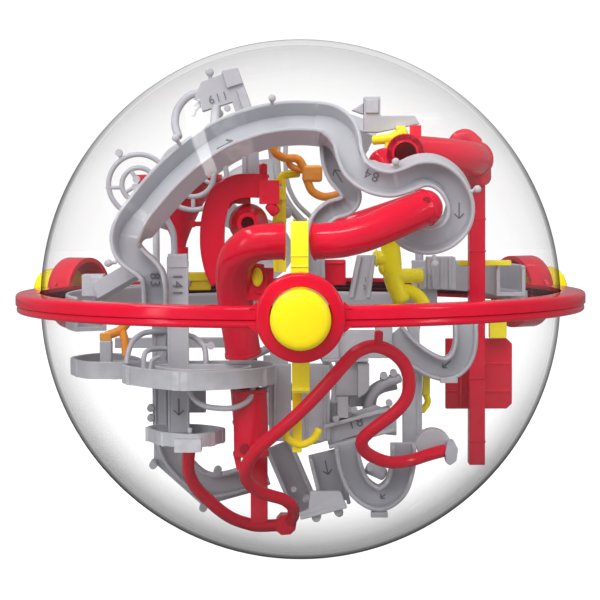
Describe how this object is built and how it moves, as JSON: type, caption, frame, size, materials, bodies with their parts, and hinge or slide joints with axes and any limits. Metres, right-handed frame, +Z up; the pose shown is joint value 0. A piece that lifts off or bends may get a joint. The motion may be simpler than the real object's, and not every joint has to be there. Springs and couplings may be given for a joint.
{
  "type": "ball maze game",
  "caption": "Hand-held dexterity game: a clear sphere with a red equator ring and hubs, closed around a maze of tracks, tubes and slides for a steel marble.",
  "frame": {"origin": "centre of the clear ball, in the plane of the equator ring", "axes": "+Z up through the top of the ball, the front hub at -Y, the other two hubs 120 degrees to either side of it"},
  "size_m": [0.219, 0.23, 0.1964],
  "materials": {
    "clear_plastic": "clear polished polystyrene",
    "red_plastic": "gloss moulded",
    "yellow_plastic": "gloss moulded",
    "orange_plastic": "gloss moulded",
    "grey_plastic": "satin moulded",
    "steel": "polished bearing steel"
  },
  "bodies": {
    "ball": {"upper_shell": "clear_plastic", "lower_shell": "clear_plastic", "ring_upper": "red_plastic", "ring_lower": "red_plastic", "hub_housing_front": "red_plastic", "hub_housing_left": "red_plastic", "hub_housing_right": "red_plastic", "elbow_tube": "red_plastic", "lower_tube": "red_plastic", "curved_tube": "red_plastic", "horn_tube": "red_plastic", "tube_rear_upper": "red_plastic", "tube_rear_lower": "red_plastic", "s_slide": "red_plastic", "slide_low": "red_plastic", "c_track": "red_plastic", "entry_cone": "red_plastic", "funnel": "red_plastic", "pillar_right": "red_plastic", "plate_right": "red_plastic", "hub_cap_front": "yellow_plastic", "hub_cap_left": "yellow_plastic", "hub_cap_right": "yellow_plastic", "strap_front": "yellow_plastic", "strap_rear": "yellow_plastic", "post_yellow": "yellow_plastic", "spout_yellow": "yellow_plastic", "manifold": "yellow_plastic", "twist_rail": "orange_plastic", "wishbone": "orange_plastic", "helix_rail": "orange_plastic", "start_tray": "grey_plastic", "arc_track": "grey_plastic", "arc_track_rear": "grey_plastic", "leg_141": "grey_plastic", "s_track_84": "grey_plastic", "branch_track": "grey_plastic", "platform_left": "grey_plastic", "tray_low": "grey_plastic", "v_track": "grey_plastic", "arrow_channel": "grey_plastic", "u_track_low": "grey_plastic", "u_track_right": "grey_plastic", "s_track_rear": "grey_plastic", "u_track_rear": "grey_plastic", "gallery_front": "grey_plastic", "gallery_left": "grey_plastic", "gallery_right": "grey_plastic", "gallery_rear": "grey_plastic", "target_rings": "grey_plastic", "target_rings_rear": "grey_plastic", "block_119": "grey_plastic", "bracket_top": "grey_plastic", "number_post": "grey_plastic", "tower": "grey_plastic", "columns_front": "grey_plastic", "column_right": "grey_plastic", "arch_rod": "grey_plastic", "loop_rod": "grey_plastic"},
    "marble": {"marble": "steel"}
  },
  "joints": [
    {"name": "marble_roll", "type": "slide", "parent": "ball", "child": "marble", "axis": [0.999, 0, 0.0444], "range_m": [0, 0.018]}
  ]
}
